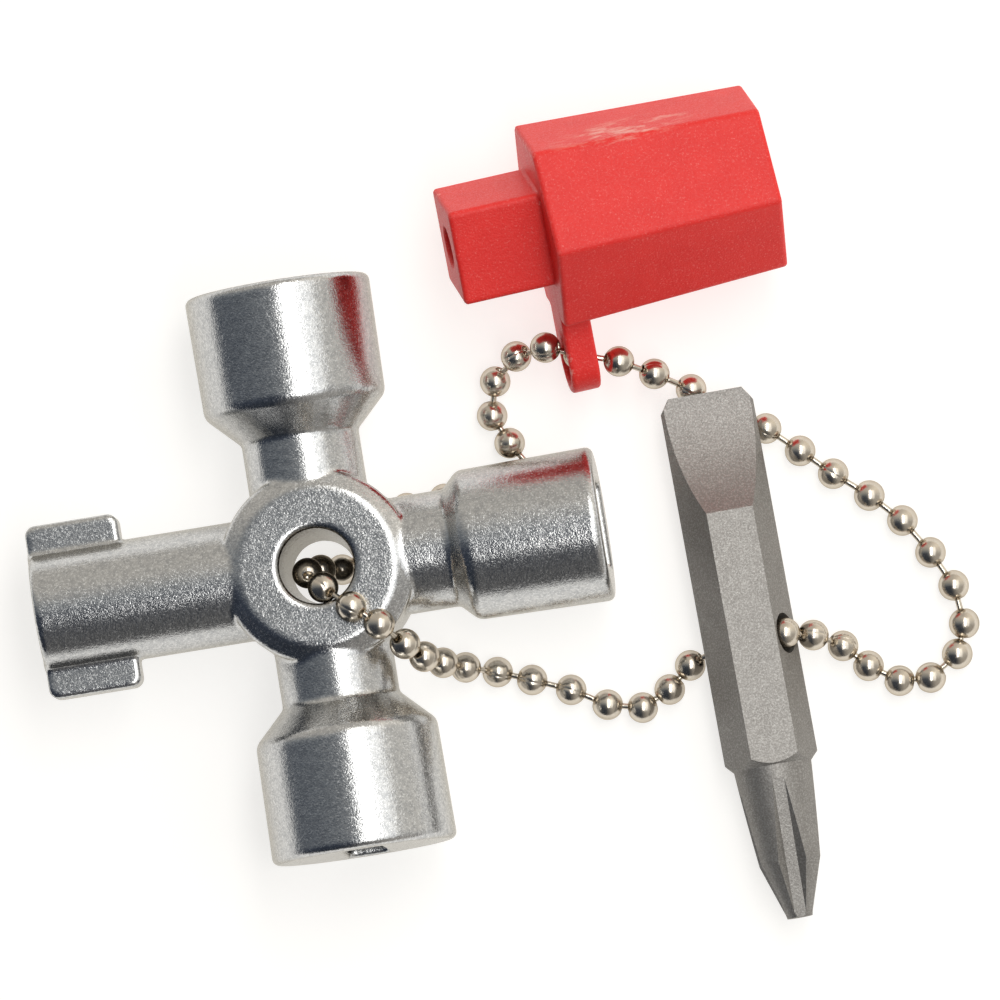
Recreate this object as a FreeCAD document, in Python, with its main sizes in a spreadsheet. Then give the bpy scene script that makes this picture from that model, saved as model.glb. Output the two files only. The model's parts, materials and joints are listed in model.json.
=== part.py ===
import FreeCAD
import Part
import Sketcher

import math
import os
import re

# Driving sizes in millimetres and degrees
SIZES = {
    # Cross key: four arms on one hub
    "arm_reach": 22.3,
    "neck_radius": 4.6,
    "socket_radius": 7.25,
    "socket_length": 9.4,
    "small_socket_radius": 6.05,
    "small_socket_length": 10.7,
    "bit_tube_radius": 4.72,
    "rim_bevel": 0.35,
    "boss_radius": 7.55,
    "boss_face_radius": 6.25,
    "boss_half_height": 4.8,
    "boss_bevel_depth": 0.9,
    "hub_hole_top_radius": 2.95,
    "hub_hole_bottom_radius": 2.45,
    "hub_hole_bevel": 0.35,
    "small_square": 6.6,
    "small_square_depth": 9.5,
    "drive_square_depth": 9.0,
    "slot_width": 3.1,
    "slot_height": 10.6,
    "slot_depth": 9.0,
    "key_bore_radius": 3.0,
    "key_bore_depth": 12.0,
    "lug_length": 7.3,
    "lug_rise": 2.08,
    "lug_thickness": 3.0,
    "lug_bevel": 0.5,
    # Adapter: moulded hexagon with a square drive and an eye
    "drive_square": 7.6,
    "drive_clearance": 0.2,
    "drive_length": 7.25,
    "drive_bevel": 0.3,
    "drive_turn": 60.0,
    "drive_hole_radius": 1.65,
    "drive_hole_depth": 5.0,
    "grip_flats_shoulder": 14.4,
    "grip_flats_mouth": 13.0,
    "grip_length": 18.1,
    "mouth_bevel": 0.3,
    "eye_turn": 120.0,
    "eye_reach": 4.1,
    "eye_radius": 2.45,
    "eye_thickness": 2.3,
    "eye_hole_radius": 1.75,
    "bead_past_eye_face": 1.15,
    "bead_above_eye_centre": 0.45,
    "holder_depth": 13.0,
    "holder_clearance": 0.1,
    # Double ended bit
    "hex_flats": 6.35,
    "bit_length": 41.5,
    "blade_length": 9.5,
    "blade_half_thickness": 0.45,
    "blade_hollow_radius": 15.0,
    "blade_corner": 0.75,
    "blade_corner_length": 1.1,
    "hex_end": 29.6,
    "hex_end_bevel": 0.65,
    "shank_root": 28.6,
    "shank_radius": 3.05,
    "point_shoulder": 37.1,
    "point_shoulder_radius": 2.56,
    "point_radius": 1.0,
    "flute_start": 30.7,
    "flute_root_half_width": 0.45,
    "flute_start_depth_radius": 2.95,
    "flute_end_depth_radius": 0.95,
    "flute_side_angle": 50.0,
    "flute_cutter_radius": 3.55,
    "flute_run_out": 0.1,
    "bit_hole_place": 19.6,
    "bit_hole_radius": 1.6,
    "bit_cut_width": 14.0,
    # Ball chain
    "bead_radius": 1.2,
    "bead_pole_radius": 0.42,
    "in_bit_start": -2.4,
    "in_bit_step": 2.75,
    "pin_radius": 0.25,
    "coupling_wall": 0.2,
    "coupling_clearance": 0.05,
    "coupling_slot_width": 1.5,
    "coupling_slot_depth": 0.55,
    "coupling_bead_gap": 4.6,
    "coupling_cut_length": 14.0,
    "coupling_along": 15.2,
    "coupling_aside": 4.85,
    # The photograph: the width of what it shows, and the chain's lifts, given as shares of a bead's height
    "photo_width": 78.125,
    "bead_height": 2.4,
    # How the pieces lie, measured from the axis of the hub
    "key_turn": 9.0,
    "adapter_east": 17.16,
    "adapter_north": 26.42,
    "adapter_turn": 13.4,
    "adapter_dip": 9.0,
    "adapter_roll": 7.6,
    "bit_east": 29.66,
    "bit_north": 13.82,
    "bit_turn": 10.3,
    "bit_roll": 7.6,
}
BEAD_SIDES = 12
BEAD_RINGS = 5
PIN_SIDES = 5
OVERSHOOT = 1.0
NEAR = 1e-3

# The photograph's width in pixels, the pixel under the hub's axis, and the shift of a point for each mm of height
PHOTO_PIXELS = 1000
HUB_COLUMN = 327.2
HUB_ROW = 574.9
LEAN_EAST = 0.065
LEAN_NORTH = 0.063

# Beads that the photograph shows, in order round the loop: column, row, lift off the table in beads' heights
UP_THROUGH_HUB = [(342, 570, 0.29), (321, 570, 1.58), (308, 573, 2.92), (324, 587, 4.21)]
ON_HUB = [(352, 606), (380, 623.5)]
DOWN_FROM_HUB = [(405.5, 643.5, 4.04), (424.5, 656.5, 2.92), (443, 663, 1.79), (465.5, 668, 0.71)]
TO_BIT = [(497.5, 673, 0), (532, 681, 0), (571, 691, 0), (607.5, 706, 0), (642.5, 709, 0), (669.5, 691, 0)]
TO_BIT += [(690, 667, 0.04)]
FROM_BIT = [(812.5, 637, 0.79), (842.5, 648, 0.17), (868, 668, 0), (899, 683, 0), (930, 680, 0)]
FROM_BIT += [(956.5, 656.5, 0), (963.5, 626, 0), (953, 588, 0), (930, 555, 0), (902, 523, 0)]
FROM_BIT += [(869, 498, 0), (833, 476, 0), (800, 453, 0), (766, 430.5, 0), (728.5, 410, 0)]
FROM_BIT += [(691, 391, 0.25), (654, 375.5, 0.92), (618.5, 363, 1.58)]
FROM_EYE = [(545, 349, 2.0), (516, 357.5, 1.12), (495, 382.5, 0.33), (492, 416.5, 0), (509.5, 444, 0)]
BEADS_IN_BIT = 3
# Beads that the key hides, in beads' heights from the hub's axis, along and across its right arm
UNDER_KEY = [(4.17, 1.79), (2.92, 1.69), (1.92, 0.83)]

doc = FreeCAD.newDocument("MultiUtilityKey")
sheet = doc.addObject("Spreadsheet::Sheet", "Sizes")
for row, (alias, value) in enumerate(SIZES.items(), 1):
    sheet.set(f"A{row}", alias)
    sheet.set(f"B{row}", str(value))
    sheet.setAlias(f"B{row}", alias)
doc.recompute()

X_AXIS = FreeCAD.Vector(1, 0, 0)
Y_AXIS = FreeCAD.Vector(0, 1, 0)
Z_AXIS = FreeCAD.Vector(0, 0, 1)
FLAT_ANGLE = 60


def size(alias):
    """The value of one cell of the sheet."""
    return float(getattr(sheet, alias))


def cells(text):
    """An expression in which each alias stands for its cell of the sheet."""
    return re.sub(r"[a-z_]+", lambda word: f"Sizes.{word[0]}" if word[0] in SIZES else word[0], text)


def new_body(label):
    body = doc.addObject("PartDesign::Body", label)
    body.Label = label
    return body


def new_sketch(body, name, role, offset=None):
    """A sketch on one of the body's own planes, moved along that plane's normal by offset."""
    sketch = body.newObject("Sketcher::SketchObject", name)
    plane = next(f for f in body.Origin.OriginFeatures if f.Role == role)
    sketch.AttachmentSupport = [(plane, "")]
    sketch.MapMode = "FlatFace"
    if offset:
        sketch.setExpression("AttachmentOffset.Base.z", cells(offset))
        doc.recompute()
    return sketch


def bind(sketch, kind, *places, text):
    """A dimension of the sketch that follows an expression."""
    value = float(sketch.evalExpression(cells(text)))
    index = sketch.addConstraint(Sketcher.Constraint(kind, *places, value))
    sketch.setExpression(f"Constraints[{index}]", cells(text))


def pin_corner(sketch, line, across, up):
    bind(sketch, "DistanceX", -1, 1, line, 1, text=across)
    bind(sketch, "DistanceY", -1, 1, line, 1, text=up)


def draw_outline(sketch, corners, hollow=None):
    """A closed outline through corners given as pairs of expressions.

    hollow = (side, radius) bends one side in."""
    points = [
        FreeCAD.Vector(*(float(sketch.evalExpression(cells(c))) for c in corner), 0) for corner in corners
    ]
    first = sketch.GeometryCount
    total = len(points)
    for i, start in enumerate(points):
        end = points[(i + 1) % total]
        if hollow and i == hollow[0]:
            middle = (start + end) / 2
            half = (end - start).Length / 2
            reach = math.sqrt(size(hollow[1]) ** 2 - half**2)
            centre = middle + (end - start).cross(Z_AXIS).normalize() * reach
            first_angle, last_angle = (
                math.atan2(p.y - centre.y, p.x - centre.x) % (2 * math.pi) for p in (end, start)
            )
            circle = Part.Circle(centre, Z_AXIS, size(hollow[1]))
            sketch.addGeometry(Part.ArcOfCircle(circle, first_angle, last_angle), False)
        else:
            sketch.addGeometry(Part.LineSegment(start, end), False)
    ends = {i: (1, 2) for i in range(total)}
    if hollow:
        ends[hollow[0]] = (2, 1)
    for i in range(total):
        following = (i + 1) % total
        sketch.addConstraint(
            Sketcher.Constraint("Coincident", first + i, ends[i][1], first + following, ends[following][0])
        )
    for i, (across, up) in enumerate(corners):
        if hollow and i == hollow[0]:
            bind(sketch, "DistanceX", -1, 1, first + i, ends[i][0], text=across)
            bind(sketch, "DistanceY", -1, 1, first + i, ends[i][0], text=up)
            bind(sketch, "Radius", first + i, text=hollow[1])
        else:
            pin_corner(sketch, first + i, across, up)


def draw_circle(sketch, radius, across="0", up="0"):
    centre = [float(sketch.evalExpression(cells(c))) for c in (across, up)]
    start = float(sketch.evalExpression(cells(radius)))
    circle = sketch.addGeometry(Part.Circle(FreeCAD.Vector(*centre, 0), Z_AXIS, start), False)
    bind(sketch, "DistanceX", -1, 1, circle, 3, text=across)
    bind(sketch, "DistanceY", -1, 1, circle, 3, text=up)
    bind(sketch, "Radius", circle, text=radius)


def rectangle(width, height):
    """The corners of a centred rectangle."""
    w, h = f"({width}) / 2", f"({height}) / 2"
    return [(f"-1 * {w}", f"-1 * {h}"), (w, f"-1 * {h}"), (w, h), (f"-1 * {w}", h)]


def hexagon(flats):
    """The corners of a hexagon with a flat facing up the sketch."""
    half, long, side = f"({flats}) / 2", f"({flats}) / sqrt(3)", f"({flats}) / sqrt(3) / 2"
    return [
        (side, half),
        (f"-1 * {side}", half),
        (f"-1 * {long}", "0"),
        (f"-1 * {side}", f"-1 * {half}"),
        (side, f"-1 * {half}"),
        (long, "0"),
    ]


def spin(body, kind, name, sketch, axis):
    feature = body.newObject(kind, name)
    feature.Profile = sketch
    feature.ReferenceAxis = (sketch, [axis])
    feature.Angle = 360
    doc.recompute()
    return feature


def push(body, kind, name, sketch, depth, midplane=False, backwards=False):
    feature = body.newObject(kind, name)
    feature.Profile = sketch
    feature.setExpression("Length", cells(depth))
    feature.Midplane = midplane
    feature.Reversed = backwards
    doc.recompute()
    return feature


def chamfer(body, name, depth, chosen):
    """A bevel on the edges of the tip that chosen picks."""
    base = body.Tip
    names = [f"Edge{i}" for i, edge in enumerate(base.Shape.Edges, 1) if chosen(edge)]
    feature = body.newObject("PartDesign::Chamfer", name)
    feature.Base = (base, names)
    feature.setExpression("Size", cells(depth))
    doc.recompute()


def repeat(body, name, feature, sketch, count):
    """The feature repeated around the normal of a sketch through its origin."""
    ring = body.newObject("PartDesign::PolarPattern", name)
    ring.Originals = [feature]
    ring.Axis = (sketch, ["N_Axis"])
    ring.Angle = 360
    ring.Occurrences = count
    body.Tip = ring
    doc.recompute()


def make_cross_key():
    """One casting: hub, two large sockets, a small square socket and a tube with two bits."""
    body = new_body("cross_key")

    large = new_sketch(body, "large_sockets_profile", "XY_Plane")
    root = "arm_reach - socket_length"
    cone = f"{root} - socket_radius + neck_radius"
    rows = [("arm_reach", "0"), ("arm_reach", "socket_radius - rim_bevel")]
    rows += [("arm_reach - rim_bevel", "socket_radius"), (root, "socket_radius"), (cone, "neck_radius")]
    below = [(f"-1 * ({along})", radius) for along, radius in reversed(rows)]
    draw_outline(large, [(radius, along) for along, radius in rows + below])
    spin(body, "PartDesign::Revolution", "large_sockets", large, "V_Axis")

    small = new_sketch(body, "small_arms_profile", "XY_Plane")
    root = "arm_reach - small_socket_length"
    cone = f"{root} - small_socket_radius + neck_radius"
    draw_outline(
        small,
        [
            ("arm_reach", "0"),
            ("arm_reach", "small_socket_radius - rim_bevel"),
            ("arm_reach - rim_bevel", "small_socket_radius"),
            (root, "small_socket_radius"),
            (cone, "neck_radius"),
            ("0", "neck_radius"),
            ("-1 * boss_radius", "bit_tube_radius"),
            ("-1 * arm_reach", "bit_tube_radius"),
            ("-1 * arm_reach", "0"),
        ],
    )
    spin(body, "PartDesign::Revolution", "small_arms", small, "H_Axis")

    boss = new_sketch(body, "boss_profile", "XZ_Plane")
    draw_outline(
        boss,
        [
            ("0", "-1 * boss_half_height"),
            ("boss_face_radius", "-1 * boss_half_height"),
            ("boss_radius", "-1 * ( boss_half_height - boss_bevel_depth )"),
            ("boss_radius", "boss_half_height - boss_bevel_depth"),
            ("boss_face_radius", "boss_half_height"),
            ("0", "boss_half_height"),
        ],
    )
    spin(body, "PartDesign::Revolution", "boss", boss, "V_Axis")

    for side, sign in (("top", "1"), ("bottom", "-1")):
        lug = new_sketch(body, f"{side}_lug_profile", "XY_Plane")
        near, far = "-1 * arm_reach", "-1 * ( arm_reach - lug_length )"
        root, crest = f"{sign} * bit_tube_radius / 2", f"{sign} * ( bit_tube_radius + lug_rise )"
        below_crest = f"{sign} * ( bit_tube_radius + lug_rise - lug_bevel )"
        draw_outline(
            lug,
            [
                (near, root),
                (near, below_crest),
                (f"{near} + lug_bevel", crest),
                (f"{far} - lug_bevel", crest),
                (far, below_crest),
                (far, root),
            ],
        )
        push(body, "PartDesign::Pad", f"{side}_lug", lug, "lug_thickness", midplane=True)

    hole = new_sketch(body, "hub_hole_profile", "XZ_Plane")
    wide_top, wide_bottom = (f"hub_hole_{end}_radius + hub_hole_bevel" for end in ("top", "bottom"))
    draw_outline(
        hole,
        [
            ("0", f"-1 * ( boss_half_height + {OVERSHOOT} )"),
            (wide_bottom, f"-1 * ( boss_half_height + {OVERSHOOT} )"),
            (wide_bottom, "-1 * boss_half_height"),
            ("hub_hole_bottom_radius", "hub_hole_bevel - boss_half_height"),
            ("hub_hole_top_radius", "boss_half_height - hub_hole_bevel"),
            (wide_top, "boss_half_height"),
            (wide_top, f"boss_half_height + {OVERSHOOT}"),
            ("0", f"boss_half_height + {OVERSHOOT}"),
        ],
    )
    spin(body, "PartDesign::Groove", "hub_hole", hole, "V_Axis")

    top = new_sketch(body, "drive_socket_profile", "XZ_Plane", "-1 * arm_reach")
    draw_outline(top, rectangle(*["drive_square + 2 * drive_clearance"] * 2))
    push(body, "PartDesign::Pocket", "drive_socket", top, "drive_square_depth", backwards=True)

    bottom = new_sketch(body, "slot_socket_profile", "XZ_Plane", "arm_reach")
    draw_outline(bottom, rectangle("slot_width", "slot_height"))
    push(body, "PartDesign::Pocket", "slot_socket", bottom, "slot_depth")

    right = new_sketch(body, "small_square_profile", "YZ_Plane", "arm_reach")
    draw_outline(right, rectangle("small_square", "small_square"))
    push(body, "PartDesign::Pocket", "small_square_socket", right, "small_square_depth")

    left = new_sketch(body, "key_bore_profile", "YZ_Plane", "-1 * arm_reach")
    draw_circle(left, "key_bore_radius")
    push(body, "PartDesign::Pocket", "key_bore", left, "key_bore_depth", backwards=True)
    return body


def make_adapter():
    """One moulding: a tapered hexagon, a square drive, and an eye for the chain at its shoulder."""
    body = new_body("bit_adapter")

    shoulder = new_sketch(body, "grip_shoulder_profile", "YZ_Plane")
    draw_outline(shoulder, hexagon("grip_flats_shoulder"))
    grip = push(body, "PartDesign::Pad", "grip", shoulder, "grip_length")
    lean = "atan((grip_flats_mouth - grip_flats_shoulder) / 2 / grip_length)"
    grip.setExpression("TaperAngle", cells(lean))
    doc.recompute()
    mouth = size("grip_length") - NEAR
    chamfer(body, "mouth_edges", "mouth_bevel", lambda e: e.CenterOfMass.x > mouth)

    ear = new_sketch(body, "eye_profile", "YZ_Plane")
    across, up = "sin(eye_turn)", "cos(eye_turn)"
    middle = "( grip_flats_shoulder / 2 + eye_reach )"
    start = "( grip_flats_shoulder / 4 )"
    corners = []
    for reach, side in ((start, "-1"), (middle, "-1"), (middle, "1"), (start, "1")):
        corners.append(
            (
                f"-1 * {across} * {reach} - {side} * {up} * eye_radius",
                f"{up} * {reach} - {side} * {across} * eye_radius",
            )
        )
    draw_outline(ear, corners)
    push(body, "PartDesign::Pad", "eye_stem", ear, "eye_thickness")
    crown = new_sketch(body, "eye_crown_profile", "YZ_Plane")
    centre = (f"-1 * {across} * {middle}", f"{up} * {middle}")
    draw_circle(crown, "eye_radius", *centre)
    push(body, "PartDesign::Pad", "eye_crown", crown, "eye_thickness")
    eye = new_sketch(body, "eye_hole_profile", "YZ_Plane", f"-1 * {OVERSHOOT}")
    draw_circle(eye, "eye_hole_radius", *centre)
    push(body, "PartDesign::Pocket", "eye_hole", eye, f"eye_thickness + 2 * {OVERSHOOT}", backwards=True)

    drive = new_sketch(body, "drive_profile", "YZ_Plane")
    half, short = "drive_square / 2", "( drive_square / 2 - drive_bevel )"
    corners = []
    for aside, lift in ((short, f"-1 * {half}"), (half, f"-1 * {short}"), (half, short), (short, half)):
        corners.append((aside, lift))
    for aside, lift in ((short, half), (half, short), (half, f"-1 * {short}"), (short, f"-1 * {half}")):
        corners.append((f"-1 * {aside}", lift))
    cos, sin = "cos(drive_turn)", "sin(drive_turn)"
    tilted = [(f"{a} * {cos} + {b} * {sin}", f"{b} * {cos} - {a} * {sin}") for a, b in corners]
    draw_outline(drive, tilted)
    push(body, "PartDesign::Pad", "drive", drive, "drive_length", backwards=True)

    core = new_sketch(body, "drive_hole_profile", "YZ_Plane", "-1 * drive_length")
    draw_circle(core, "drive_hole_radius")
    push(body, "PartDesign::Pocket", "drive_hole", core, "drive_hole_depth", backwards=True)

    holder = new_sketch(body, "holder_profile", "YZ_Plane", "grip_length")
    draw_outline(holder, hexagon("hex_flats + 2 * holder_clearance"))
    push(body, "PartDesign::Pocket", "holder", holder, "holder_depth")
    return body


def make_bit():
    """A turned and ground bar: slotted blade at its start, hexagon, and a fluted cross point at its end."""
    body = new_body("double_ended_bit")

    bar = new_sketch(body, "hexagon_profile", "XY_Plane")
    draw_outline(bar, hexagon("hex_flats"))
    push(body, "PartDesign::Pad", "hexagon", bar, "hex_end")

    trim = new_sketch(body, "end_bevels_profile", "XZ_Plane")
    corner = "hex_flats / sqrt(3)"
    outside = f"( {corner} + {OVERSHOOT} )"
    draw_outline(
        trim,
        [
            (f"{corner} - blade_corner", "0"),
            (f"{corner} - blade_corner", f"-1 * {OVERSHOOT}"),
            (outside, f"-1 * {OVERSHOOT}"),
            (outside, f"hex_end + {OVERSHOOT}"),
            ("shank_radius", f"hex_end + {OVERSHOOT}"),
            ("shank_radius", "hex_end"),
            (corner, "hex_end - hex_end_bevel"),
            (corner, "blade_corner_length"),
        ],
    )
    spin(body, "PartDesign::Groove", "end_bevels", trim, "V_Axis")

    point = new_sketch(body, "point_profile", "XZ_Plane")
    draw_outline(
        point,
        [
            ("0", "shank_root"),
            ("shank_radius", "shank_root"),
            ("shank_radius", "hex_end"),
            ("point_shoulder_radius", "point_shoulder"),
            ("point_radius", "bit_length"),
            ("0", "bit_length"),
        ],
    )
    spin(body, "PartDesign::Revolution", "point", point, "V_Axis")

    blade = new_sketch(body, "blade_profile", "YZ_Plane")
    draw_outline(
        blade,
        [
            ("blade_half_thickness", "0"),
            ("hex_flats / 2", "blade_length"),
            (f"hex_flats / 2 + {OVERSHOOT}", "blade_length"),
            (f"hex_flats / 2 + {OVERSHOOT}", f"-1 * {OVERSHOOT}"),
            ("blade_half_thickness", f"-1 * {OVERSHOOT}"),
        ],
        hollow=(0, "blade_hollow_radius"),
    )
    face = push(body, "PartDesign::Pocket", "blade_face", blade, "bit_cut_width", midplane=True)
    repeat(body, "blade_faces", face, bar, 2)

    start = new_sketch(body, "flute_start_profile", "XY_Plane", "flute_start")
    end = new_sketch(body, "flute_end_profile", "XY_Plane", "bit_length + flute_run_out")
    for sketch, depth in ((start, "flute_start_depth_radius"), (end, "flute_end_depth_radius")):
        spread = f"flute_root_half_width + ( flute_cutter_radius - {depth} ) * tan(flute_side_angle)"
        draw_outline(
            sketch,
            [
                ("flute_root_half_width", depth),
                (spread, "flute_cutter_radius"),
                (f"-1 * ( {spread} )", "flute_cutter_radius"),
                ("-1 * flute_root_half_width", depth),
            ],
        )
    flute = body.newObject("PartDesign::SubtractiveLoft", "flute")
    flute.Profile = start
    flute.Sections = [end]
    flute.Ruled = True
    doc.recompute()
    repeat(body, "flutes", flute, bar, 4)

    cross = new_sketch(body, "cross_hole_profile", "XZ_Plane")
    cross.AttachmentOffset = FreeCAD.Placement(FreeCAD.Vector(), FreeCAD.Rotation(Y_AXIS, -FLAT_ANGLE))
    draw_circle(cross, "bit_hole_radius", "0", "bit_hole_place")
    push(body, "PartDesign::Pocket", "cross_hole", cross, "bit_cut_width", midplane=True)
    return body


def make_coupling():
    """The folded sleeve that closes the chain: a thin wall round the two end beads, slotted on one side."""
    body = new_body("chain_coupling")
    inner = "(bead_radius + coupling_clearance)"
    outer = f"({inner} + coupling_wall)"
    half = f"(coupling_bead_gap / 2 + {inner})"
    wall = new_sketch(body, "sleeve_profile", "XY_Plane")
    draw_outline(
        wall,
        [
            (f"-1 * ({half} + coupling_wall)", "0"),
            (f"-1 * ({half} + coupling_wall)", outer),
            (f"{half} + coupling_wall", outer),
            (f"{half} + coupling_wall", "0"),
            (half, "0"),
            (half, inner),
            (f"-1 * {half}", inner),
            (f"-1 * {half}", "0"),
        ],
    )
    spin(body, "PartDesign::Revolution", "sleeve", wall, "H_Axis")
    slot = new_sketch(body, "slot_profile", "YZ_Plane")
    draw_outline(
        slot,
        [
            ("-1 * coupling_slot_depth", "-1 * coupling_slot_width / 2"),
            (f"{outer} + {OVERSHOOT}", "-1 * coupling_slot_width / 2"),
            (f"{outer} + {OVERSHOOT}", "coupling_slot_width / 2"),
            ("-1 * coupling_slot_depth", "coupling_slot_width / 2"),
        ],
    )
    push(body, "PartDesign::Pocket", "slot", slot, "coupling_cut_length", midplane=True)
    return body


def lay(feature, base, rotation):
    feature.Placement = FreeCAD.Placement(base, rotation)
    feature.recompute()


def drop(feature):
    """Lowers or raises the feature until its lowest point is on the table."""
    lowest = feature.Shape.optimalBoundingBox(False).ZMin
    feature.Placement.Base = feature.Placement.Base - Z_AXIS * lowest
    feature.recompute()


def photo_point(column, row, lift):
    """The centre of a bead whose underside is lift above the table, from where the photograph shows it."""
    pixel = size("photo_width") / PHOTO_PIXELS
    height = lift + size("bead_radius")
    east = (column - HUB_COLUMN) * pixel + LEAN_EAST * height
    north = (HUB_ROW - row) * pixel - LEAN_NORTH * height
    return FreeCAD.Vector(east, north, height)


def bead_shape():
    """A bead with flat facets and a small flat at each pole, where its pin goes in."""
    radius = size("bead_radius")
    first = math.asin(size("bead_pole_radius") / radius)
    rings = []
    for ring in range(BEAD_RINGS):
        tilt = first + (math.pi - 2 * first) * ring / (BEAD_RINGS - 1)
        points = []
        for side in range(BEAD_SIDES):
            turn = 2 * math.pi * side / BEAD_SIDES
            reach = radius * math.sin(tilt)
            points.append(
                FreeCAD.Vector(reach * math.cos(turn), reach * math.sin(turn), radius * math.cos(tilt))
            )
        rings.append(points)
    faces = [Part.Face(Part.makePolygon(ring + ring[:1])) for ring in (rings[0], rings[-1])]
    for upper, lower in zip(rings, rings[1:]):
        for side in range(BEAD_SIDES):
            after = (side + 1) % BEAD_SIDES
            corners = [upper[side], upper[after], lower[after], lower[side], upper[side]]
            faces.append(Part.Face(Part.makePolygon(corners)))
    return Part.makeSolid(Part.makeShell(faces))


def bead_centres(adapter, bit):
    """The middle of every bead, in order round the loop from the one under the hub's hole."""
    unit = size("bead_height")

    def seen(stretch):
        return [photo_point(column, row, lift * unit) for column, row, lift in stretch]

    boss_top = size("socket_radius") + size("boss_half_height")
    on_hub = [photo_point(column, row, boss_top) for column, row in ON_HUB]

    in_bit = []
    for i in range(BEADS_IN_BIT):
        along = size("in_bit_start") + i * size("in_bit_step")
        flat = FreeCAD.Rotation(Z_AXIS, -FLAT_ANGLE).multVec(Y_AXIS * along)
        in_bit.append(bit.Placement.multVec(flat + Z_AXIS * size("bit_hole_place")))

    reach = size("grip_flats_shoulder") / 2 + size("eye_reach") - size("bead_above_eye_centre")
    eye = FreeCAD.Rotation(X_AXIS, size("eye_turn")).multVec(Z_AXIS * reach)
    in_eye = [adapter.Placement.multVec(eye + X_AXIS * size("bead_past_eye_face"))]

    half = size("coupling_bead_gap") / 2
    raised = size("coupling_clearance") + size("coupling_wall")
    along, aside = size("coupling_along"), size("coupling_aside")
    under_key = [(along + half, aside, raised), (along - half, aside, raised)]
    under_key += [(a * unit, b * unit, 0) for a, b in UNDER_KEY]
    turn = FreeCAD.Rotation(Z_AXIS, size("key_turn"))
    hidden = [turn.multVec(FreeCAD.Vector(a, b, c + size("bead_radius"))) for a, b, c in under_key]

    over_hub = seen(UP_THROUGH_HUB) + on_hub + seen(DOWN_FROM_HUB)
    return over_hub + seen(TO_BIT) + in_bit + seen(FROM_BIT) + in_eye + seen(FROM_EYE) + hidden


def make_chain(centres, closed_at):
    """Beads, and between each two the bare length of a pin, apart from the pair that the coupling holds."""
    total = len(centres)
    bead = bead_shape()
    beads = []
    for i, centre in enumerate(centres):
        along = centres[(i + 1) % total] - centres[i - 1]
        feature = doc.addObject("Part::Feature", f"bead_{i + 1:02d}")
        feature.Shape = bead
        lay(feature, centre, FreeCAD.Rotation(Z_AXIS, along))
        beads.append(feature)
    pins = []
    for i, centre in enumerate(centres):
        if i == closed_at:
            continue
        after = (i + 1) % total
        span = centres[after] - centre
        outline = [
            FreeCAD.Rotation(Z_AXIS, 360 * side / PIN_SIDES).multVec(X_AXIS * size("pin_radius"))
            for side in range(PIN_SIDES + 1)
        ]
        pin = Part.Face(Part.makePolygon(outline)).extrude(Z_AXIS * span.Length)
        pin.Placement = FreeCAD.Placement(centre, FreeCAD.Rotation(Z_AXIS, span))
        pins.append(pin.cut([beads[i].Shape, beads[after].Shape]).Solids[0])
    group = doc.addObject("Part::Feature", "link_pins")
    group.Shape = Part.makeCompound(pins)
    return beads, group


def centre_all(features):
    """Moves the whole object so that the middle of its footprint is the origin."""
    box = Part.makeCompound([f.Shape for f in features]).optimalBoundingBox(False)
    middle = FreeCAD.Vector(box.Center.x, box.Center.y, 0)
    for feature in features:
        feature.Placement.Base = feature.Placement.Base - middle
        feature.recompute()


cross_key = make_cross_key()
lay(cross_key, Z_AXIS * size("socket_radius"), FreeCAD.Rotation(Z_AXIS, size("key_turn")))

adapter = make_adapter()
adapter_turn = FreeCAD.Rotation(size("adapter_turn"), size("adapter_dip"), -size("adapter_roll"))
lay(adapter, FreeCAD.Vector(size("adapter_east"), size("adapter_north"), 0), adapter_turn)
drop(adapter)

bit = make_bit()
bit_heading = FreeCAD.Rotation(Z_AXIS, size("bit_turn")).multVec(-Y_AXIS)
bit_side = FreeCAD.Rotation(Z_AXIS, size("bit_turn")).multVec(X_AXIS)
bit_up = FreeCAD.Rotation(bit_heading, -size("bit_roll")).multVec(Z_AXIS)
bit_turn = FreeCAD.Rotation(bit_side, bit_up, bit_heading, "ZYX")
lay(bit, FreeCAD.Vector(size("bit_east"), size("bit_north"), 0), bit_turn)
drop(bit)

centres = bead_centres(adapter, bit)
closed_at = len(centres) - len(UNDER_KEY) - 2
beads, pins = make_chain(centres, closed_at)

coupling = make_coupling()
middle = (centres[closed_at] + centres[closed_at + 1]) / 2
lay(coupling, middle, FreeCAD.Rotation(Z_AXIS, size("key_turn")))

pieces = [cross_key, adapter, bit, coupling, pins] + beads
doc.recompute()
centre_all(pieces)

failed = [item.Name for item in doc.Objects if {"Invalid", "Error"} & set(item.State)]
failed += [p.Label for p in pieces if p.Shape.isNull() or not p.Shape.isValid() or not p.Shape.Solids]
if failed:
    raise SystemExit(f"not sound: {failed}")

os.makedirs("parts", exist_ok=True)
for piece in pieces:
    piece.Shape.exportStep(f"parts/{piece.Label}.step")
print(f"{len(pieces)} nodes written")
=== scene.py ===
import json
import math

import bpy
import numpy as np
from mathutils import Matrix, Vector


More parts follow.
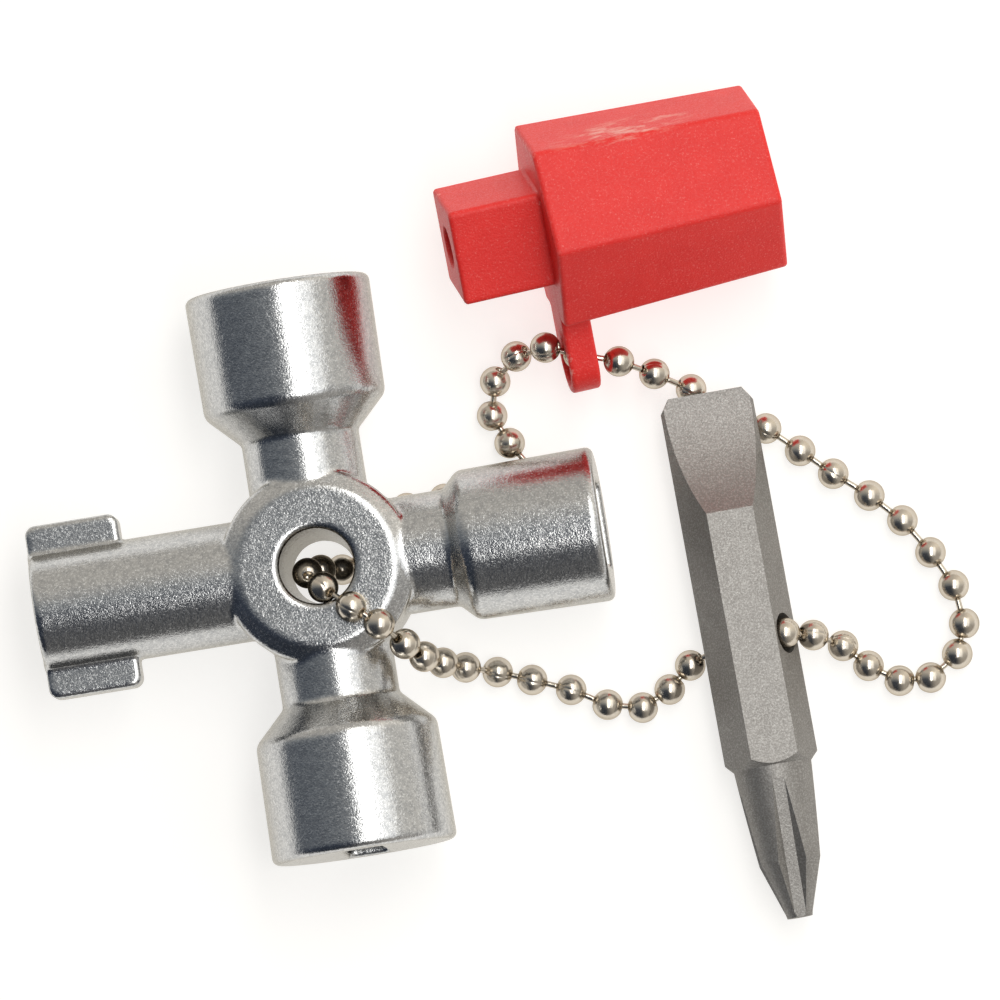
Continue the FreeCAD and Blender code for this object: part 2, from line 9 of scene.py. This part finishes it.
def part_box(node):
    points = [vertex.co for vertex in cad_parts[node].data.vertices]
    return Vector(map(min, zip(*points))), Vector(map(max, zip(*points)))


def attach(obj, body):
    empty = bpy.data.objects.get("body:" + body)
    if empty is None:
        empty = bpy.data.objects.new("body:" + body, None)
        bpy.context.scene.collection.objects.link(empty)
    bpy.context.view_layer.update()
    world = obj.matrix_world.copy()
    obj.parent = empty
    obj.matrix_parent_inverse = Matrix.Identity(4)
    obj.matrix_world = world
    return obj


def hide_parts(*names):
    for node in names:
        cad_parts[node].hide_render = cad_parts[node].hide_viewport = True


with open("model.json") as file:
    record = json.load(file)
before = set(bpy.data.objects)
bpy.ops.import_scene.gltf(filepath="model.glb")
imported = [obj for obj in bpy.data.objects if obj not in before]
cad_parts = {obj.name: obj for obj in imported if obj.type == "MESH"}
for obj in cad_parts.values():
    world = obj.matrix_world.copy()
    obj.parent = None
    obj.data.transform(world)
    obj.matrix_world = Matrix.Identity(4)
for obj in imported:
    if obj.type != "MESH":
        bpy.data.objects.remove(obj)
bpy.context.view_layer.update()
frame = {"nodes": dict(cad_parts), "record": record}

MM = 0.001
MOUNTS = {m["name"]: m for m in frame["record"]["mounts"]}

# Sizes of the cross key, in mm
ARM = 22.3
NECK = 4.6
LARGE_RIM, LARGE_ROOT, LARGE_LENGTH = 7.25, 7.12, 9.4
SMALL_RIM, SMALL_ROOT, SMALL_LENGTH = 6.05, 5.88, 10.7
TUBE = 4.72
LUG_PLACE, LUG_HALF_LENGTH, LUG_REACH, LUG_CORNER, LUG_HALF_THICKNESS = 18.65, 2.85, 6.0, 0.8, 1.5
FACE, FACE_RADIUS, BOSS_RADIUS = 4.8, 6.25, 7.55
BEVEL_DEPTH, BEVEL_WIDTH = 0.9, 1.3
HOLE_RADIUS, HOLE_DRAFT = 2.7, 0.25
DRIVE_HALF, DRIVE_DEPTH = 4.0, 9.0
SLOT_HALF_WIDTH, SLOT_HALF_HEIGHT, SLOT_DEPTH = 1.55, 5.3, 9.0
SQUARE_HALF, SQUARE_DEPTH = 3.3, 9.5
BORE_RADIUS, BORE_DEPTH = 3.0, 12.0

# Sizes of the adapter, in mm
GRIP = 18.1
SHOULDER_HALF, MOUTH_HALF = 7.2, 6.5
PLUG_HALF, PLUG_LENGTH = 3.8, 7.25
PLUG_HOLE_RADIUS, PLUG_HOLE_DEPTH = 1.65, 5.0
PLUG_TURN = math.radians(60)
EYE, EYE_RADIUS, EYE_HALF_THICKNESS, EYE_HOLE_RADIUS = 11.3, 2.45, 1.15, 1.75
STEM_START = 4.0
HOLDER_HALF, HOLDER_DEPTH = 3.275, 13.0
ADAPTER_TURN, ADAPTER_DIP, ADAPTER_ROLL = 13.4, 9.0, -7.6

# Sizes of the chain, in mm, with the turns at its beads' seam in radians
BEAD = 1.2
BEAD_HOLE, BEAD_LIP, BEAD_HOLE_DEPTH = 0.34, 0.06, 0.3
SEAM_DEPTH, SEAM_TURNS, SEAM_CLEAR = 0.03, (-0.075, -0.025, 0.025, 0.075), 0.12
PIN, PIN_WAIST, PIN_INSET = 0.25, 0.235, 0.25
BEAD_RINGS, BEAD_SIDES, PIN_SIDES = 22, 36, 16

# The view: its width, centre and distance in metres, its lean, and the camera's sensor in mm
PICTURE_WIDTH = 0.0781
CENTRE = Vector((-0.0005, 0.00052, 0))
LEAN = Vector((0.065, -0.063, 1))
DISTANCE = 1.4
SENSOR = 36


# Solids as distance fields, in mm


def hypot(a, b):
    return np.sqrt(a * a + b * b)


def round_cut(a, b, radius):
    """Where both a and b are inside, with the edge between them rounded."""
    u, v = np.maximum(radius + a, 0), np.maximum(radius + b, 0)
    return np.minimum(-radius, np.maximum(a, b)) + np.sqrt(u * u + v * v)


def round_join(a, b, radius):
    """Where a or b is inside, with a fillet between them."""
    u, v = np.maximum(radius - a, 0), np.maximum(radius - b, 0)
    return np.maximum(radius, np.minimum(a, b)) - np.sqrt(u * u + v * v)


def carve(solid, hole, radius):
    return round_cut(solid, -hole, radius)


def rectangle(a, b, half_a, half_b, radius):
    return round_cut(np.abs(a) - half_a, np.abs(b) - half_b, radius)


def hexagon(y, z, half, radius):
    lean = math.pi / 6
    flats = [np.abs(z), np.abs(y * math.cos(lean) + z * 0.5), np.abs(y * math.cos(lean) - z * 0.5)]
    return round_cut(round_cut(flats[0] - half, flats[1] - half, radius), flats[2] - half, radius)


def field_points(field, low, high, step):
    """Surface nets: a point in each crossed cell and a face for each crossed edge of the grid."""
    axes = [np.arange(a, b + step, step) for a, b in zip(low, high)]
    grid = np.meshgrid(*axes, indexing="ij")
    value = field(*grid)
    inside = value < 0
    shape = tuple(n - 1 for n in value.shape)
    corners = [(i, j, k) for i in (0, 1) for j in (0, 1) for k in (0, 1)]

    def at(array, corner):
        return array[tuple(slice(c, c + n) for c, n in zip(corner, shape))]

    count = sum(at(inside, c).astype(np.int8) for c in corners)
    cells = np.argwhere((count > 0) & (count < len(corners)))
    index = np.full(shape, -1, np.int64)
    index[tuple(cells.T)] = np.arange(len(cells))
    total = np.zeros((len(cells), 3))
    hits = np.zeros(len(cells))
    for corner in corners:
        for axis in range(3):
            if corner[axis]:
                continue
            other = np.array(corner)
            other[axis] = 1
            a = value[tuple((cells + corner).T)]
            b = value[tuple((cells + other).T)]
            crossed = (a < 0) != (b < 0)
            share = np.where(crossed, a / np.where(crossed, a - b, 1), 0)
            place = np.array(corner)[None, :] + np.zeros((len(cells), 3))
            place[:, axis] += share
            total += place * crossed[:, None]
            hits += crossed
    points = np.array(low) + (cells + total / hits[:, None]) * step

    faces = []
    for axis in range(3):
        b, c = (axis + 1) % 3, (axis + 2) % 3
        start = [slice(1, -1)] * 3
        start[axis] = slice(0, -1)
        end = list(start)
        end[axis] = slice(1, None)
        first, last = inside[tuple(start)], inside[tuple(end)]
        for crossing, flip in ((first & ~last, False), (last & ~first, True)):
            place = np.argwhere(crossing)
            place[:, b] += 1
            place[:, c] += 1
            ring = []
            for db, dc in ((-1, -1), (0, -1), (0, 0), (-1, 0)):
                cell = place.copy()
                cell[:, b] += db
                cell[:, c] += dc
                ring.append(index[tuple(cell.T)])
            ring = np.stack(ring[::-1] if flip else ring, 1)
            faces.append(ring)
    return points, np.concatenate(faces)


def settle(field, points, faces, rounds, reach):
    """Evens out the points along the surface and puts them back on it."""
    probe = 0.004
    ends = np.concatenate([faces[:, [i, (i + 1) % 4]] for i in range(4)])
    degree = np.bincount(ends[:, 0], minlength=len(points)) + 0.0
    for turn in range(rounds + 2):
        if turn < rounds:
            sums = [np.bincount(ends[:, 0], points[ends[:, 1], i], len(points)) for i in range(3)]
            points = 0.5 * points + 0.5 * np.stack(sums, 1) / degree[:, None]
        x, y, z = points.T
        distance = field(x, y, z)
        slope = np.stack(
            [
                field(x + probe, y, z) - field(x - probe, y, z),
                field(x, y + probe, z) - field(x, y - probe, z),
                field(x, y, z + probe) - field(x, y, z - probe),
            ],
            1,
        ) / (2 * probe)
        length = np.maximum((slope**2).sum(1), 0.25)
        move = slope * (distance / length)[:, None]
        far = np.sqrt((move**2).sum(1))
        points = points - move * np.minimum(1, reach / np.maximum(far, 1e-9))[:, None]
    return points


def add_mesh(name, points, faces, material, nodes):
    """A smooth piece on the root body that stands for the named CAD nodes."""
    mesh = bpy.data.meshes.new(name)
    mesh.from_pydata(points.tolist(), [], faces.tolist() if isinstance(faces, np.ndarray) else faces)
    mesh.validate()
    mesh.shade_smooth()
    mesh.materials.append(material)
    piece = bpy.data.objects.new(name, mesh)
    bpy.context.scene.collection.objects.link(piece)
    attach(piece, "root")
    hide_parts(*nodes)


def add_field(name, field, low, high, step, origin, turn, material):
    points, faces = field_points(field, low, high, step)
    points = settle(field, points, faces, 3, step)
    points = (np.array(origin) + points @ np.array(turn).T) * MM
    add_mesh(name, points, faces, material, [name])


def mount(name):
    """A mount's place in mm and its direction."""
    return np.array(MOUNTS[name]["pos_m"]) / MM, np.array(MOUNTS[name]["axis"])


HUB = (mount("drive_socket")[0] + mount("slot_socket")[0]) / 2


# Materials

BLACK, WHITE = (0, 0, 0), (1, 1, 1)


def grey(value):
    return (value, value, value)


def new_material(name, metallic, roughness):
    material = bpy.data.materials.new(name)
    material.use_nodes = True
    shader = material.node_tree.nodes["Principled BSDF"]
    shader.inputs["Metallic"].default_value = metallic
    shader.inputs["Roughness"].default_value = roughness
    return material, shader


class Nodes:
    """Short names for the few kinds of node that the materials and the sky use."""

    def __init__(self, tree):
        self.tree = tree
        self.place = tree.nodes.new("ShaderNodeTexCoord").outputs["Object"]

    def link(self, value, socket):
        if hasattr(value, "is_output"):
            self.tree.links.new(value, socket)
        else:
            socket.default_value = value

    def noise(self, per_mm, detail, rough, place=None):
        node = self.tree.nodes.new("ShaderNodeTexNoise")
        node.inputs["Scale"].default_value = per_mm / MM
        node.inputs["Detail"].default_value = detail
        node.inputs["Roughness"].default_value = rough
        self.link(place or self.place, node.inputs["Vector"])
        return node.outputs["Fac"]

    def ramp(self, value, stops):
        node = self.tree.nodes.new("ShaderNodeValToRGB")
        while len(node.color_ramp.elements) < len(stops):
            node.color_ramp.elements.new(0.5)
        for element, (place, colour) in zip(node.color_ramp.elements, stops):
            element.position = place
            element.color = (*colour, 1)
        self.link(value, node.inputs["Fac"])
        return node.outputs["Color"]

    def mix(self, share, a, b, kind="MIX"):
        node = self.tree.nodes.new("ShaderNodeMix")
        node.data_type, node.blend_type = "RGBA", kind
        self.link(share, node.inputs["Factor"])
        self.link(a, node.inputs["A"])
        self.link(b, node.inputs["B"])
        return node.outputs["Result"]

    def vector_maths(self, kind, a, b=None):
        node = self.tree.nodes.new("ShaderNodeVectorMath")
        node.operation = kind
        self.link(a, node.inputs[0])
        if b is not None:
            self.link(b, node.inputs[1])
        return node.outputs["Value" if kind == "LENGTH" else "Vector"]

    def mapped(self, centre, degrees, stretch):
        """Object coordinates from a centre in mm, turned about Z and stretched along each axis."""
        node = self.tree.nodes.new("ShaderNodeMapping")
        node.inputs["Rotation"].default_value = (0, 0, math.radians(-degrees))
        away = self.vector_maths("SUBTRACT", self.place, tuple(c * MM for c in centre))
        self.link(away, node.inputs["Vector"])
        return self.vector_maths("MULTIPLY", node.outputs["Vector"], stretch)

    def patch(self, centre, degrees, half_length, half_width, stops):
        """A ramp that runs from the middle of an upright oval column, 0, to its edge, 1."""
        stretch = (1 / (half_length * MM), 1 / (half_width * MM), 0)
        return self.ramp(self.vector_maths("LENGTH", self.mapped(centre, degrees, stretch)), stops)

    def maths(self, kind, a, b, c=0.5):
        node = self.tree.nodes.new("ShaderNodeMath")
        node.operation = kind
        for value, socket in zip((a, b, c), node.inputs):
            self.link(value, socket)
        return node.outputs["Value"]

    def bump(self, height, depth, strength, after=None):
        node = self.tree.nodes.new("ShaderNodeBump")
        node.inputs["Strength"].default_value = strength
        node.inputs["Distance"].default_value = depth * MM
        self.link(height, node.inputs["Height"])
        if after:
            self.link(after, node.inputs["Normal"])
        return node.outputs["Normal"]


def make_zinc():
    """Tumbled, plated zinc: bright, finely peened, with pale flecks, and painted shade that darkens the
    inside of the hub's hole.
    """
    material, shader = new_material("plated_zinc", 1.0, 0.2)
    n = Nodes(material.node_tree)
    fine = n.noise(8.0, 2.0, 0.6)
    coarse = n.noise(2.4, 3.0, 0.6)
    mottle = n.noise(0.5, 4.0, 0.6)
    normal = n.bump(mottle, 0.25, 0.12)
    normal = n.bump(coarse, 0.08, 0.13, normal)
    n.link(n.bump(fine, 0.04, 0.36, normal), shader.inputs["Normal"])
    flecks = n.ramp(n.noise(6.0, 3.0, 0.75), [(0.5, BLACK), (0.66, WHITE)])
    tint = n.ramp(coarse, [(0.35, (0.43, 0.435, 0.44)), (0.65, (0.58, 0.58, 0.575))])
    tint = n.mix(flecks, tint, (0.76, 0.765, 0.76, 1))
    # Painted shade: the base colour turns dark brown inside the hub's hole, where shade falls in the
    # recess.
    bore = n.patch(HUB, 0, 3.4, 3.4, [(0.86, grey(0.8)), (0.98, BLACK)])
    n.link(n.mix(bore, tint, (0.17, 0.16, 0.14, 1)), shader.inputs["Base Color"])
    rough = n.ramp(fine, [(0.3, grey(0.11)), (0.7, grey(0.23))])
    n.link(n.mix(flecks, rough, (0.3, 0.3, 0.3, 1)), shader.inputs["Roughness"])
    shader.inputs["Specular Tint"].default_value = (0.72, 0.69, 0.63, 1)
    return material


def make_plastic():
    """Red moulded plastic with a fine spark-eroded grain, pale worn edges and scuffs on its north face."""
    material, shader = new_material("red_plastic", 0.0, 0.5)
    n = Nodes(material.node_tree)
    grain = n.noise(7.0, 1.5, 0.5)
    soft = n.noise(0.4, 3.0, 0.5)
    n.link(n.bump(grain, 0.05, 0.75, n.bump(soft, 0.05, 0.12)), shader.inputs["Normal"])
    tint = n.ramp(soft, [(0.3, (0.79, 0.022, 0.018)), (0.7, (0.84, 0.028, 0.022))])
    sparkle = n.ramp(n.noise(6.0, 2.5, 0.7), [(0.56, BLACK), (0.74, grey(0.6))])
    tint = n.mix(sparkle, tint, (0.93, 0.2, 0.18, 1))
    pointed = n.tree.nodes.new("ShaderNodeNewGeometry").outputs["Pointiness"]
    edge = n.ramp(pointed, [(0.54, BLACK), (0.62, WHITE)])
    worn = n.ramp(n.noise(4.0, 3.0, 0.7), [(0.42, BLACK), (0.6, grey(0.6))])
    tint = n.mix(n.maths("MULTIPLY", edge, worn), tint, (0.93, 0.42, 0.36, 1))
    scuffed = (9.9, 28.3, 0)
    streaks = n.mapped(scuffed, ADAPTER_TURN, (0.16, 0.9, 0.16))
    scuff = n.ramp(n.noise(1.6, 4.0, 0.7, streaks), [(0.5, BLACK), (0.68, grey(0.75))])
    patch = n.patch(scuffed, ADAPTER_TURN, 6.2, 1.3, [(0.45, WHITE), (1.0, BLACK)])
    tint = n.mix(n.maths("MULTIPLY", scuff, patch), tint, (0.93, 0.66, 0.55, 1))
    n.link(tint, shader.inputs["Base Color"])
    n.link(n.ramp(grain, [(0.3, grey(0.38)), (0.7, grey(0.58))]), shader.inputs["Roughness"])
    shader.inputs["Specular IOR Level"].default_value = 0.42
    return material


def make_steel():
    """Blasted grey steel."""
    material, shader = new_material("blasted_steel", 0.8, 0.42)
    n = Nodes(material.node_tree)
    grain = n.noise(6.5, 2.0, 0.6)
    patch = n.noise(0.5, 4.0, 0.6)
    n.link(n.bump(grain, 0.04, 0.6), shader.inputs["Normal"])
    tint = n.ramp(patch, [(0.3, (0.25, 0.238, 0.224)), (0.7, (0.29, 0.277, 0.262))])
    speck = n.ramp(n.noise(7.0, 3.0, 0.75), [(0.46, BLACK), (0.66, WHITE)])
    n.link(n.mix(speck, tint, (0.42, 0.41, 0.39, 1)), shader.inputs["Base Color"])
    n.link(n.ramp(grain, [(0.3, grey(0.46)), (0.7, grey(0.58))]), shader.inputs["Roughness"])
    shader.inputs["Specular Tint"].default_value = (0.5, 0.48, 0.45, 1)
    return material


def make_nickel():
    """Bright nickel plate on the chain."""
    material, shader = new_material("nickel_plate", 1.0, 0.2)
    n = Nodes(material.node_tree)
    haze = n.noise(1.1, 3.0, 0.6)
    n.link(n.bump(n.noise(0.9, 2.0, 0.5), 0.06, 0.15), shader.inputs["Normal"])
    tint = n.ramp(haze, [(0.3, (0.58, 0.52, 0.44)), (0.7, (0.68, 0.62, 0.53))])
    n.link(tint, shader.inputs["Base Color"])
    n.link(n.ramp(haze, [(0.35, grey(0.19)), (0.75, grey(0.28))]), shader.inputs["Roughness"])
    shader.inputs["Specular Tint"].default_value = (0.62, 0.57, 0.5, 1)
    return material


ZINC, PLASTIC, STEEL, NICKEL = make_zinc(), make_plastic(), make_steel(), make_nickel()


# Cross key


def socket_arm(along, radius, rim_radius, root_radius, length):
    """A socket end on its neck: along runs out from the hub, and radius from the arm's axis."""
    root = ARM - length
    draft = root_radius + (rim_radius - root_radius) * (along - root) / length
    body = round_cut(radius - draft, along - ARM, 0.55)
    shoulder = (radius - along + root - root_radius) / math.sqrt(2)
    body = round_cut(body, shoulder, 0.3)
    neck = np.maximum(np.maximum(radius - NECK, along - root - 2), -along)
    return round_join(body, neck, 0.15)


def lugged_tube(x, y, z):
    tube = np.maximum(round_cut(hypot(y, z) - TUBE, -x - ARM, 0.4), x)
    past_length = np.maximum(np.abs(x + LUG_PLACE) - LUG_HALF_LENGTH, 0)
    past_reach = np.maximum(np.abs(y) - LUG_REACH, 0)
    lug = round_cut(hypot(past_length, past_reach) - LUG_CORNER, np.abs(z) - LUG_HALF_THICKNESS, 0.3)
    return round_join(tube, lug, 0.3)


def boss_field(ring, high):
    """A stepped boss on both faces: ring is the distance from the hub's axis, high that from its middle."""
    bevel = (ring - FACE_RADIUS) * BEVEL_DEPTH + (high - FACE) * BEVEL_WIDTH
    bevel = bevel / math.hypot(BEVEL_DEPTH, BEVEL_WIDTH)
    return round_cut(round_cut(ring - BOSS_RADIUS, bevel, 0.25), high - FACE, 0.15)


def key_field(x, y, z):
    large = socket_arm(np.abs(y), hypot(x, z), LARGE_RIM, LARGE_ROOT, LARGE_LENGTH)
    small = socket_arm(x, hypot(y, z), SMALL_RIM, SMALL_ROOT, SMALL_LENGTH)
    ring = hypot(x, y)
    solid = np.minimum(np.minimum(large, small), lugged_tube(x, y, z))
    solid = round_join(solid, boss_field(ring, np.abs(z)), 0.15)
    solid = carve(solid, ring - (HOLE_RADIUS + HOLE_DRAFT * np.clip(z / FACE, -1, 1)), 0.4)
    drive = np.maximum(rectangle(x, z, DRIVE_HALF, DRIVE_HALF, 0.4), ARM - DRIVE_DEPTH - y)
    slot = np.maximum(rectangle(x, z, SLOT_HALF_WIDTH, SLOT_HALF_HEIGHT, 0.4), ARM - SLOT_DEPTH + y)
    square = np.maximum(rectangle(y, z, SQUARE_HALF, SQUARE_HALF, 0.4), ARM - SQUARE_DEPTH - x)
    bore = np.maximum(hypot(y, z) - BORE_RADIUS, ARM - BORE_DEPTH + x)
    for opening in (drive, slot, square, bore):
        solid = carve(solid, opening, 0.25)
    return solid


north = mount("drive_socket")[1]
east = mount("small_square_socket")[1]
key_turn = np.stack([east, north, np.cross(east, north)], 1)
add_field("cross_key", key_field, (-23, -23, -7.8), (23, 23, 7.8), 0.24, HUB, key_turn, ZINC)


# Adapter


def turned(degrees_z, degrees_y, degrees_x):
    turn = Matrix.Identity(3)
    for degrees, axis in ((degrees_z, "Z"), (degrees_y, "Y"), (degrees_x, "X")):
        turn = turn @ Matrix.Rotation(math.radians(degrees), 3, axis)
    return np.array(turn)


def adapter_field(x, y, z):
    """X runs from the shoulder to the mouth, and the eye points away from the top."""
    half = SHOULDER_HALF + (MOUTH_HALF - SHOULDER_HALF) * x / GRIP
    grip = round_cut(hexagon(y, z, half, 0.25), np.maximum(-x, x - GRIP), 0.3)
    across, along = math.sin(PLUG_TURN), math.cos(PLUG_TURN)
    plug = rectangle(y * along - z * across, y * across + z * along, PLUG_HALF, PLUG_HALF, 0.4)
    plug = np.maximum(round_cut(plug, -x - PLUG_LENGTH, 0.3), x - 1)
    reach = -across * y - along * z
    side = along * y - across * z
    past_stem = np.maximum(np.maximum(reach - EYE, STEM_START - reach), 0)
    eye = hypot(past_stem, side) - EYE_RADIUS
    eye = round_cut(eye, np.abs(x - EYE_HALF_THICKNESS) - EYE_HALF_THICKNESS, 0.25)
    solid = round_join(round_join(grip, plug, 0.15), eye, 0.1)
    solid = carve(solid, hypot(reach - EYE, side) - EYE_HOLE_RADIUS, 0.2)
    plug_hole = np.maximum(hypot(y, z) - PLUG_HOLE_RADIUS, x + PLUG_LENGTH - PLUG_HOLE_DEPTH)
    solid = carve(solid, plug_hole, 0.15)
    holder = np.maximum(hexagon(y, z, HOLDER_HALF, 0.1), GRIP - HOLDER_DEPTH - x)
    return carve(solid, holder, 0.25)


mouth, outward = mount("bit_holder")
add_field(
    "bit_adapter",
    adapter_field,
    (-8, -13.4, -10.6),
    (19, 9.5, 9.5),
    0.2,
    mouth - outward * GRIP,
    turned(ADAPTER_TURN, ADAPTER_DIP, ADAPTER_ROLL),
    PLASTIC,
)


# Chain

BEADS = sorted(name for name in frame["nodes"] if name.startswith("bead_"))
centres = [sum((Vector(corner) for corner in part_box(name)), Vector()) / 2 for name in BEADS]
spans = [centres[(i + 1) % len(centres)] - centre for i, centre in enumerate(centres)]


def revolved(profile, sides, notch=0):
    """Points and faces of (radius, height) pairs turned round Z, with a groove along one meridian."""
    points, faces = [], []
    turns = [2 * math.pi * (i + 0.5) / sides for i in range(sides)]
    if notch:
        turns = [*SEAM_TURNS, *(t for t in turns if SEAM_CLEAR < t < 2 * math.pi - SEAM_CLEAR)]
    for radius, height in profile:
        for i, turn in enumerate(turns):
            reach = radius - notch if i in (1, 2) else radius
            points.append(Vector((reach * math.cos(turn), reach * math.sin(turn), height)))
    total = len(turns)
    for ring in range(len(profile) - 1):
        low, high = ring * total, (ring + 1) * total
        for i in range(total):
            j = (i + 1) % total
            faces.append((low + i, low + j, high + j, high + i))
    faces.append(tuple(range(total))[::-1])
    faces.append(tuple((len(profile) - 1) * total + i for i in range(total)))
    return points, faces


def bead_profile():
    """From the bottom of one pin hole, over its lip, round the bead and into the other."""
    start = math.asin((BEAD_HOLE + BEAD_LIP) / BEAD)
    pole = -BEAD * math.cos(start)
    half = [(BEAD_HOLE, pole + BEAD_HOLE_DEPTH), (BEAD_HOLE, pole + BEAD_LIP)]
    half += [(BEAD_HOLE + BEAD_LIP * 0.3, pole + BEAD_LIP * 0.3)]
    middle = []
    for i in range(BEAD_RINGS + 1):
        tilt = start + (math.pi - 2 * start) * i / BEAD_RINGS
        middle.append((BEAD * math.sin(tilt), -BEAD * math.cos(tilt)))
    return half + middle + [(r, -h) for r, h in reversed(half)]


def pin_profile(length):
    """A wire link with a slightly thinner middle, that ends inside both beads."""
    near, far = BEAD - PIN_INSET, length - BEAD + PIN_INSET
    waist = [(PIN_WAIST, near + share * (far - near)) for share in (0.3, 0.7)]
    return [(PIN, near), *waist, (PIN, far)]


def add_copies(name, copies, nodes):
    """One piece made of a shape laid at each place: a copy is (points, faces, turn, place)."""
    points, faces = [], []
    for shape_points, shape_faces, turn, place in copies:
        base = len(points)
        points += [turn @ (p * MM) + place for p in shape_points]
        faces += [tuple(i + base for i in face) for face in shape_faces]
    add_mesh(name, np.array(points), faces, NICKEL, nodes)


rng = np.random.default_rng(7)
bead = revolved(bead_profile(), BEAD_SIDES, SEAM_DEPTH)
bead_copies = []
for i, centre in enumerate(centres):
    along = (spans[i] + spans[i - 1]).to_track_quat("Z", "Y").to_matrix()
    spun = along @ Matrix.Rotation(rng.uniform(0, 2 * math.pi), 3, "Z")
    bead_copies.append((*bead, spun, centre))
add_copies("chain_beads", bead_copies, BEADS)

# The coupling closes the widest gap, so no pin goes there
coupled = max(range(len(spans)), key=lambda i: spans[i].length)
pin_copies = [
    (*revolved(pin_profile(span.length / MM), PIN_SIDES), span.to_track_quat("Z", "Y").to_matrix(), centre)
    for i, (centre, span) in enumerate(zip(centres, spans))
    if i != coupled
]
add_copies("chain_pins", pin_copies, ["link_pins"])

for name, material in (("double_ended_bit", STEEL), ("chain_coupling", NICKEL)):
    for slot_of in frame["nodes"][name].material_slots:
        slot_of.material = material


# Stage, lights and camera


def facing(direction):
    """A turn whose Z points along the direction and whose Y leans to the row's Y."""
    away = Vector(direction).normalized()
    side = Vector((0, 1, 0)).cross(away).normalized()
    return Matrix((side, away.cross(side), away)).transposed().to_4x4()


def add_floor(half):
    material, shader = new_material("pale_floor", 0.0, 0.75)
    shader.inputs["Base Color"].default_value = (0.42, 0.418, 0.41, 1)
    shader.inputs["Emission Color"].default_value = (1, 0.985, 0.96, 1)
    shader.inputs["Emission Strength"].default_value = 0.72
    mesh = bpy.data.meshes.new("floor")
    corners = [(-half, -half, 0), (half, -half, 0), (half, half, 0), (-half, half, 0)]
    mesh.from_pydata(corners, [], [(0, 1, 2, 3)])
    mesh.materials.append(material)
    floor = bpy.data.objects.new("floor", mesh)
    bpy.context.scene.collection.objects.link(floor)


def add_light(name, place, width, depth, power, colour):
    """A rectangular lamp that faces the middle of the picture and can't be seen itself."""
    light = bpy.data.lights.new(name, "AREA")
    light.shape = "RECTANGLE"
    light.size, light.size_y = width, depth
    light.energy = power
    light.color = colour
    lamp = bpy.data.objects.new(name, light)
    lamp.matrix_world = Matrix.Translation(place) @ facing(Vector(place) - CENTRE)
    lamp.visible_camera = False
    bpy.context.scene.collection.objects.link(lamp)


def add_sky():
    """Dark toward the bottom of the picture, bright toward its top, and warm toward its right."""
    world = bpy.data.worlds.new("studio")
    bpy.context.scene.world = world
    world.use_nodes = True
    sky = Nodes(world.node_tree)
    split = sky.tree.nodes.new("ShaderNodeSeparateXYZ")
    direction = sky.tree.nodes.new("ShaderNodeTexCoord").outputs["Generated"]
    sky.link(direction, split.inputs["Vector"])
    dark, dusk = (0.03, 0.036, 0.048), (0.05, 0.062, 0.088)
    haze, bright = (0.24, 0.26, 0.28), (0.62, 0.59, 0.54)
    northward = sky.maths("MULTIPLY_ADD", split.outputs["Y"], 0.5)
    toward_top = sky.ramp(northward, [(0.0, dark), (0.4, dusk), (0.53, haze), (0.8, bright)])
    eastward = sky.maths("MULTIPLY_ADD", split.outputs["X"], 0.5)
    toward_right = sky.ramp(eastward, [(0.45, BLACK), (0.8, (0.42, 0.39, 0.34))])
    background = sky.tree.nodes["Background"]
    sky.link(sky.mix(1, toward_top, toward_right, "ADD"), background.inputs["Color"])
    background.inputs["Strength"].default_value = 1.0


def add_camera():
    camera = bpy.data.cameras.new("camera")
    camera.sensor_width = SENSOR
    camera.lens = SENSOR * DISTANCE / PICTURE_WIDTH
    camera.clip_start, camera.clip_end = 0.01, 20
    lean = LEAN.normalized()
    viewer = bpy.data.objects.new("camera", camera)
    viewer.matrix_world = Matrix.Translation(CENTRE + lean * DISTANCE) @ facing(lean)
    bpy.context.scene.collection.objects.link(viewer)
    bpy.context.scene.camera = viewer


add_floor(1.5)
add_light("softbox", (0.108, 0.05, 0.5), 0.125, 0.6, 1.25, (1, 0.99, 0.97))
add_light("side_panel", (0.3, 0.05, 0.45), 0.2, 0.6, 0.35, (0.96, 0.98, 1))
add_sky()
bpy.context.scene.view_settings.view_transform = "Standard"
add_camera()
